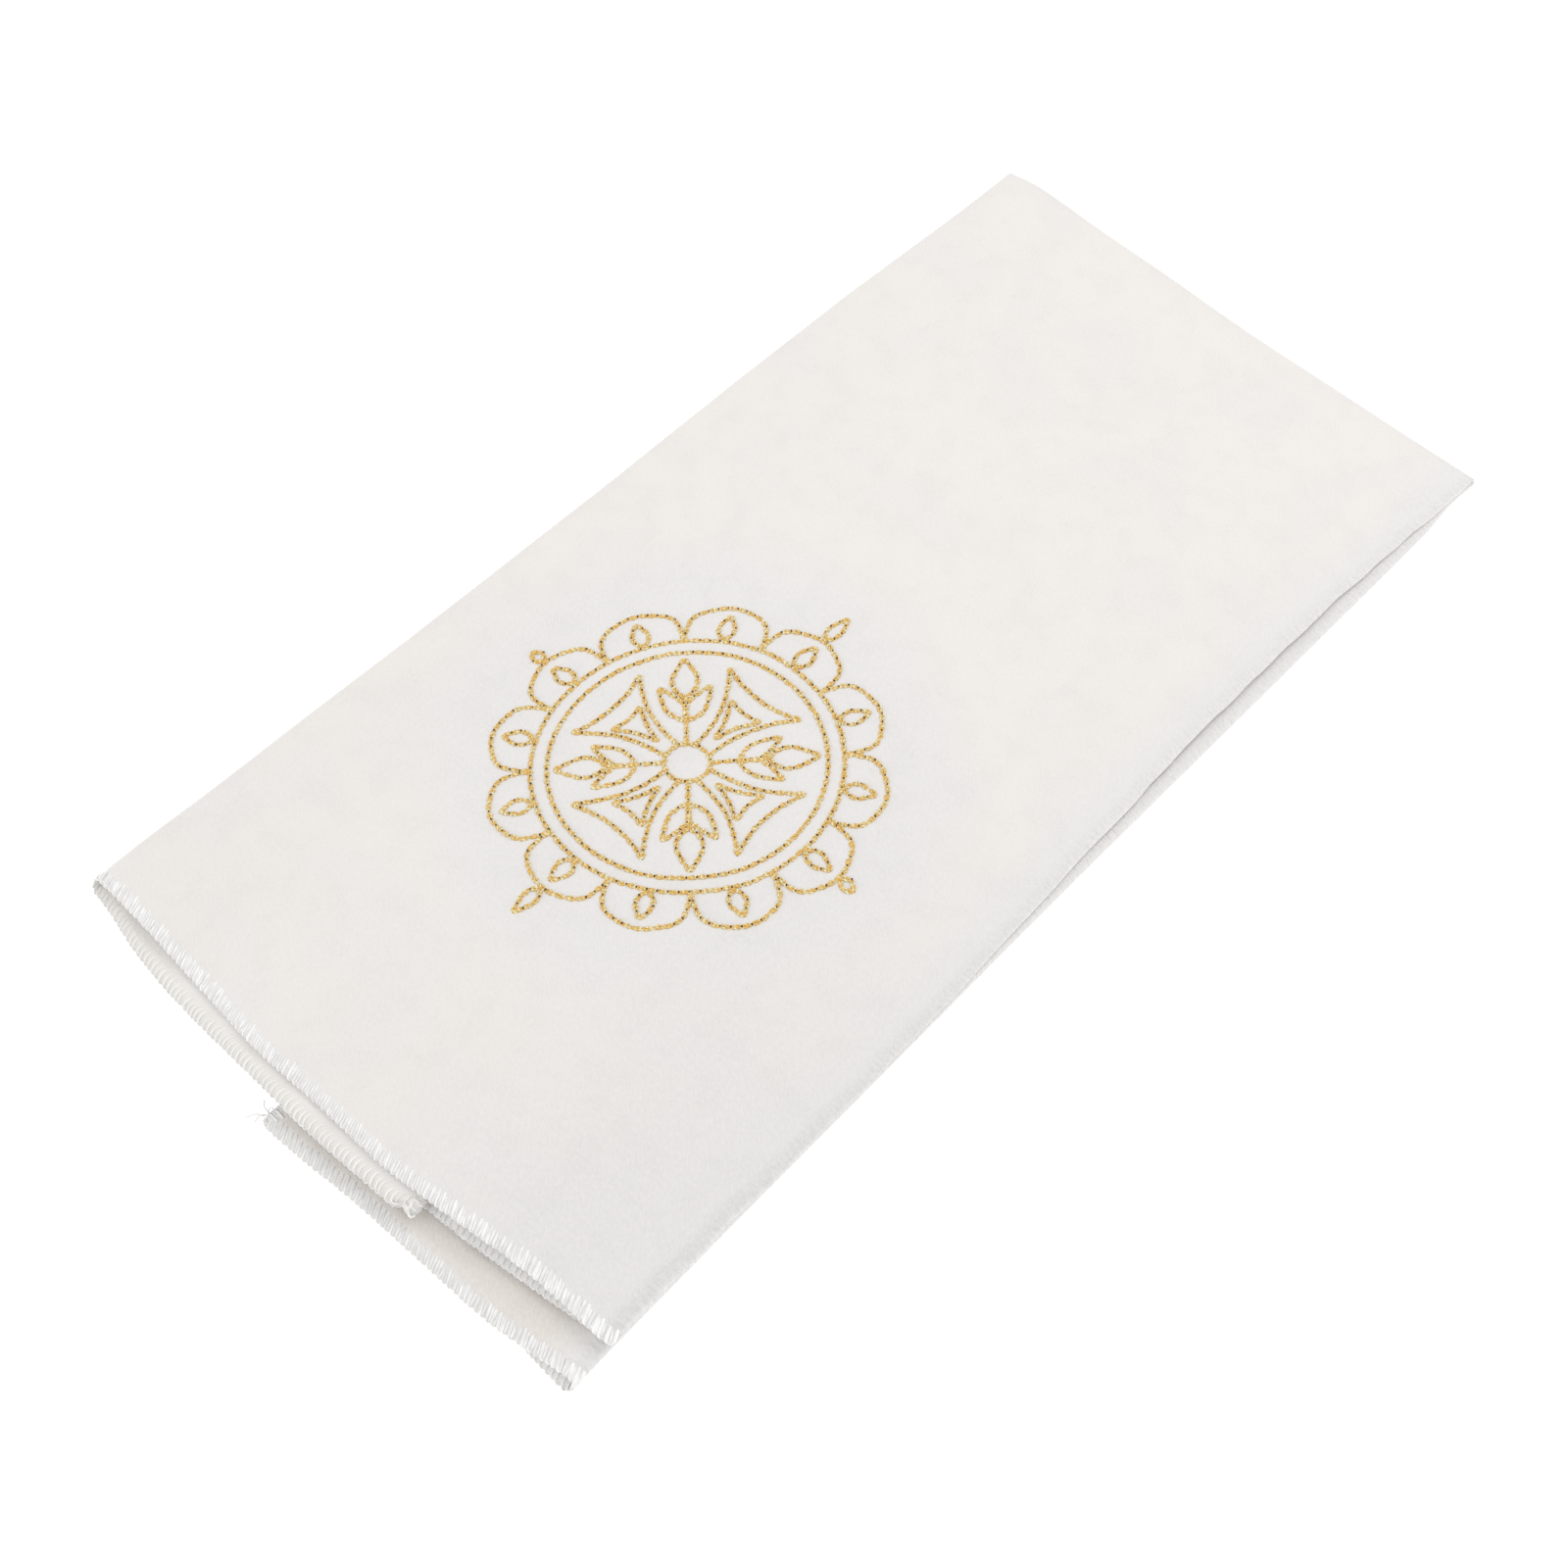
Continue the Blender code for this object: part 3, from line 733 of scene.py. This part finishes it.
def loose_tails(name, material):
    """The loose ends as one mesh of curling threads that lie just over their layer."""
    shares = np.linspace(0.0, 1.0, TAIL_POINTS)
    routes = []
    for tail in TAILS:
        x, y = tail.x, tail.y
        step = tail.length / (TAIL_POINTS - 1)
        route = []
        for share in shares:
            rise = TAIL_RISE * math.sin(math.pi * min(share * TAIL_LANDING, 1.0)) + TAIL_CLEAR
            route.append((x, y, layer_height(tail.layer, x, y) + CLOTH / 2 + rise))
            heading = math.radians(tail.heading + tail.curl * share)
            x += step * math.cos(heading)
            y += step * math.sin(heading)
        routes.append(route)
    axes = np.tile((0.0, 0.0, 1.0), (len(TAILS), 1))
    sizes = np.full((len(TAILS), len(shares), 2), TAIL_THREAD)
    piece = mesh_piece(name, *sweep(np.array(routes), axes, sizes, THREAD_SIDES), material)
    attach(piece, "root")
    return piece


thread_material = white_thread_material()
edging = [
    stitch_edge("edging_upper_hem", sheet_places[:, 0], sheet_places[:, 1], -1, 11, thread_material),
    stitch_edge("edging_lower_hem", sheet_places[:, -1], sheet_places[:, -2], 1, 12, thread_material),
    stitch_edge("edging_left_flap", sheet_places[0], sheet_places[1], 1, 13, thread_material),
    stitch_edge("edging_right_flap", sheet_places[-1], sheet_places[-2], -1, 14, thread_material),
    loose_tails("edging_loose_ends", thread_material),
]


# The gold work
# A plain flared cross in a ring of lobes with leaf sprigs, worked by machine through the upper panel in gold
# thread. Every line is a row of bean stitches: three passes of thread between the same two needle holes.

# A stitch's length, its threads' half thickness, and how far they spread and rise in the stitch's middle.
GOLD_STITCH, GOLD_THREAD = 1.9, 0.24
GOLD_SPREAD, GOLD_RISE = 0.31, 0.22
# How far the threads wind round and rise over each other, how steeply they leave a hole, and from how deep.
PLY_TURN, PLY_RISE = 2.4, 0.16
ARCH_STEEPNESS, GOLD_DEPTH = 0.42, 0.14
# Dark pegs of painted shade in the needle holes: half size, rise, depth, and the share of holes given one.
HOLE_SHADE_SIZE, HOLE_SHADE_RISE, HOLE_SHADE_DEPTH = 0.21, 0.40, 0.1
HOLE_SHADES_SEEN = 0.8
# The rings of the design, and the reach of the leaf at each of its four points.
EYE_RING, INNER_RING, OUTER_RING = 4.3, 25.6, 28.6
POINT_REACH = ((0, 44.0), (90, 40.5), (180, 44.0), (270, 40.5))
ARM_COUNT, LOBE_COUNT = 4, 12


def turned(points, degrees):
    turn = math.radians(degrees)
    return [
        (x * math.cos(turn) - y * math.sin(turn), x * math.sin(turn) + y * math.cos(turn)) for x, y in points
    ]


def smooth_line(points, closed=False, parts=8):
    """A smooth line through points in the plane of the design."""
    count = len(points)
    spans = count if closed else count - 1
    line = []
    for span in range(spans):
        picks = [
            points[index % count] if closed else points[min(max(index, 0), count - 1)]
            for index in range(span - 1, span + 3)
        ]
        before, first, second, after = [np.array(pick) for pick in picks]
        for part in range(parts):
            t = part / parts
            line.append(
                0.5
                * (
                    2 * first
                    + (second - before) * t
                    + (2 * before - 5 * first + 4 * second - after) * t * t
                    + (3 * first - before - 3 * second + after) * t**3
                )
            )
    line.append(np.array(points[0] if closed else points[-1]))
    return np.array(line)


def ring(radius, parts=96):
    angles = np.linspace(0, 2 * math.pi, parts + 1)
    return np.stack([radius * np.cos(angles), radius * np.sin(angles)], axis=1)


def leaf(base, tip, width):
    """The outline of a pointed leaf from its base to its tip."""
    base, tip = np.array(base), np.array(tip)
    axis = tip - base
    side = np.array((-axis[1], axis[0])) / np.linalg.norm(axis)
    shares = ((0.0, 0.0), (0.22, 0.40), (0.45, 0.5), (0.75, 0.27), (1.0, 0.0))
    one_side = [tuple(base + axis * along + side * width * off) for along, off in shares]
    other_side = [tuple(base + axis * along - side * width * off) for along, off in shares]
    return [smooth_line(one_side), smooth_line(other_side)]


def gold_lines():
    """The lines of the design round its middle, in millimetres."""
    lines = [ring(EYE_RING, 40), ring(INNER_RING), ring(OUTER_RING)]
    arm_side = [(1.7, 4.0), (2.3, 8.5), (3.9, 13.5), (6.6, 18.0), (8.9, 20.8)]
    arm_end = [(8.9, 20.8), (4.6, 19.5), (0.0, 19.1), (-4.6, 19.5), (-8.9, 20.8)]
    dart = [(0.0, 7.2), (1.3, 11.5), (3.7, 15.6)]
    dart_end = [(3.7, 15.6), (0.0, 14.9), (-3.7, 15.6)]
    for arm in range(ARM_COUNT):
        degrees = 360 / ARM_COUNT * arm
        for route in (arm_side, [(-x, y) for x, y in arm_side], arm_end):
            lines.append(smooth_line(turned(route, degrees)))
        for route in (dart, [(-x, y) for x, y in dart], dart_end):
            lines.append(smooth_line(turned(route, degrees)))
        sprig = degrees + 45
        lines.append(smooth_line(turned([(0.0, 4.4), (0.0, 9.0), (0.0, 14.6)], sprig)))
        for base, tip, width in (
            ((0.0, 14.6), (0.0, 24.2), 5.0),
            ((0.0, 9.4), (4.9, 17.4), 3.6),
            ((0.0, 9.4), (-4.9, 17.4), 3.6),
        ):
            lines += leaf(turned([base], sprig)[0], turned([tip], sprig)[0], width)
    for lobe in range(LOBE_COUNT):
        degrees = 360 / LOBE_COUNT * lobe
        half = math.pi / LOBE_COUNT
        foot = (OUTER_RING * math.sin(half), OUTER_RING * math.cos(half))
        lobe_side = [foot, (7.6, 31.4), (6.3, 34.6)]
        other_side = [(-x, y) for x, y in lobe_side[::-1]]
        lines.append(smooth_line(turned(lobe_side + [(0.0, 37.0)] + other_side, degrees)))
        lines += leaf(turned([(0.0, 29.0)], degrees)[0], turned([(0.0, 35.0)], degrees)[0], 3.4)
    for degrees, reach in POINT_REACH:
        lines += leaf(turned([(0.0, 37.2)], degrees)[0], turned([(0.0, reach)], degrees)[0], 2.8)
    return lines


def stitch_ends(line):
    """The needle holes along a line, a stitch apart."""
    run = run_lengths(line)
    count = max(int(round(run[-1] / GOLD_STITCH)), 1)
    places = np.linspace(0, run[-1], count + 1)
    return np.stack([np.interp(places, run, line[:, axis]) for axis in range(2)], axis=1)


def top_height(x, y):
    """The height of the upper panel's face over a place."""
    return layer_height("upper panel", x, y) + CLOTH / 2


def work_gold():
    """All the bean stitches as one mesh: three threads a stitch, lightly turned, and painted hole shade."""
    chance = random.Random(29)
    shares = np.array((0.0, 0.14, 0.38, 0.62, 0.86, 1.0))
    routes, axes, sizes, hole_shade_pegs, hole_shade_sizes = [], [], [], [], []
    for line in gold_lines():
        holes = stitch_ends(line) + np.array((GOLD_X, GOLD_Y))
        for first, second in zip(holes[:-1], holes[1:]):
            step = second - first
            length = np.linalg.norm(step)
            side = np.array((-step[1], step[0])) / length
            turn = chance.uniform(0, 2 * math.pi)
            for thread in range(3):
                phase = turn + 2 * math.pi * thread / 3
                route = []
                for share in shares:
                    arch = max(math.sin(math.pi * share), 0.0) ** ARCH_STEEPNESS
                    angle = phase + PLY_TURN * (share - 0.5)
                    off = GOLD_SPREAD * math.cos(angle) * arch
                    place = first + step * (share * 1.04 - 0.02) + side * off
                    rise = -GOLD_DEPTH + arch * (GOLD_RISE + PLY_RISE * math.sin(angle))
                    route.append((place[0], place[1], top_height(place[0], place[1]) + rise))
                routes.append(route)
                axes.append((side[0], side[1], 0.0))
                thick = GOLD_THREAD * chance.uniform(0.9, 1.1)
                sizes.append([(thick * grow, thick * grow) for grow in (0.75, 1.0, 1.05, 1.05, 1.0, 0.75)])
        # A dark peg of painted shade stands in most inner needle holes.
        for x, y in holes[1:-1]:
            if chance.random() < HOLE_SHADES_SEEN:
                ends = (-HOLE_SHADE_DEPTH, HOLE_SHADE_RISE)
                hole_shade_pegs.append([(x, y, top_height(x, y) + rise) for rise in ends])
                hole_shade_sizes.append(np.full((2, 2), HOLE_SHADE_SIZE * chance.uniform(0.65, 1.1)))
    threads = sweep(np.array(routes), np.array(axes), np.array(sizes), THREAD_SIDES)
    # Along a thread the UV map holds its number and its share, so the material can paint shade near a hole.
    numbers = np.repeat(np.arange(len(routes)), len(shares) * THREAD_SIDES)
    threads[2][:, 0] = np.tile(np.repeat(shares, THREAD_SIDES), len(routes)) + numbers
    hole_shade_axes = np.tile((1.0, 0.0, 0.0), (len(hole_shade_pegs), 1))
    dark = sweep(np.array(hole_shade_pegs), hole_shade_axes, np.array(hole_shade_sizes), THREAD_SIDES)
    dark[2][:, 0] = 0.0
    points, faces, flat = join_parts([threads, dark])
    return mesh_piece("gold_work", points, faces, flat, gold_material())


GOLD_BODY, GOLD_GLINT = (0.97, 0.65, 0.20, 1.0), (1.0, 0.95, 0.62, 1.0)
GOLD_PLY_SHADE, GOLD_HOLE_SHADE = (0.84, 0.49, 0.11, 1.0), (0.17, 0.07, 0.015, 1.0)


def gold_material():
    """Glossy gold embroidery thread of two twisted plies, with painted shade where it dives into a hole."""
    material, shader, wire = new_material("gold_thread", roughness=0.32, metallic=0.12)
    flat = wire.node("UVMap", {"uv_map": "flat"})
    parts = wire.node("SeparateXYZ", sockets={0: flat})
    around = Wire(wire.tree, parts.socket.node.outputs[1])
    share = parts.maths("FRACT", parts + 0.0001)
    into_hole = share.maths("ABSOLUTE", share - 0.5)
    twist = share.maths("SINE", share * 15 + around * math.pi)
    place = wire.node("TexCoord", output=3)
    # Painted glints: lighter gold spots in the colour, standing for highlights.
    glints = wire.node("TexNoise", sockets={"Vector": place, "Scale": 1500.0, "Detail": 1.0})
    body = glints.between(0.42, 0.60).tint(GOLD_BODY, GOLD_GLINT)
    # Painted shade between the plies, following the twist.
    plies = (twist * 0.5 + 0.5).between(0.0, 0.35).tint(GOLD_PLY_SHADE, body)
    # Painted shade at the thread's ends, where it dives into a hole.
    colour = into_hole.between(0.43, 0.50).tint(plies, GOLD_HOLE_SHADE)
    wire.tree.links.new(colour.socket, shader.inputs["Base Color"])
    bump = wire.node("Bump", sockets={"Strength": 0.8, "Distance": 0.0002, "Height": twist})
    wire.tree.links.new(bump.socket, shader.inputs["Normal"])
    return material


gold_work = work_gold()
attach(gold_work, "root")


# The table, the light and the camera
# A plain pale table under one wide soft light from behind and one from the front left, with even light from
# all round. The camera looks down over the right front corner of the stack, as in the picture.

CAMERA_AIM = (12.1, -22.5, 5.5)
CAMERA_DISTANCE = 489.0
CAMERA_AZIMUTH, CAMERA_ELEVATION = 42.5, 55.31
CAMERA_LENS, CAMERA_SENSOR = 61.875, 36.0
TABLE_SIZE, TABLE_GLOW = 6000.0, 0.45
ROOM_LIGHT = 0.785

bpy.ops.object.select_all(action="DESELECT")
bpy.ops.mesh.primitive_plane_add(size=TABLE_SIZE * MM, location=(0, 0, 0))
table = bpy.context.active_object
table.name = "table"
table_material, table_shader, _ = new_material("pale_table", roughness=0.95)
table_shader.inputs["Base Color"].default_value = (0.96, 0.96, 0.96, 1.0)
table_shader.inputs["Specular IOR Level"].default_value = 0.1
table_shader.inputs["Emission Color"].default_value = (1.0, 1.0, 1.0, 1.0)
table_shader.inputs["Emission Strength"].default_value = TABLE_GLOW
table.data.materials.append(table_material)

Light = namedtuple("Light", "name azimuth elevation distance size watts")
LIGHTS = (
    Light("key_light", 160.0, 52.0, 900.0, 700.0, 2.35),
    Light("front_fill", -25.0, 18.0, 1200.0, 1100.0, 4.6),
)


def seen_from(azimuth, elevation):
    """The direction from the stack towards a light or a camera."""
    turn, rise = math.radians(azimuth), math.radians(elevation)
    return Vector((math.sin(turn) * math.cos(rise), -math.cos(turn) * math.cos(rise), math.sin(rise)))


for light in LIGHTS:
    back = seen_from(light.azimuth, light.elevation)
    bpy.ops.object.light_add(type="AREA", location=back * light.distance * MM)
    lamp = bpy.context.active_object
    lamp.name = light.name
    lamp.rotation_euler = back.to_track_quat("Z", "Y").to_euler()
    lamp.data.size = light.size * MM
    lamp.data.energy = light.watts

world = bpy.data.worlds.new("soft_room")
bpy.context.scene.world = world
world.use_nodes = True
room = world.node_tree.nodes["Background"]
room.inputs["Color"].default_value = (1.0, 1.0, 1.0, 1.0)
room.inputs["Strength"].default_value = ROOM_LIGHT

aim = Vector(CAMERA_AIM) * MM
back = seen_from(CAMERA_AZIMUTH, CAMERA_ELEVATION)
bpy.ops.object.camera_add(location=aim + back * CAMERA_DISTANCE * MM)
camera = bpy.context.active_object
camera.rotation_euler = back.to_track_quat("Z", "Y").to_euler()
camera.data.lens = CAMERA_LENS
camera.data.sensor_width = CAMERA_SENSOR
camera.data.clip_start = 0.01
camera.data.dof.use_dof = False
bpy.context.scene.camera = camera
bpy.context.scene.view_settings.view_transform = "Standard"
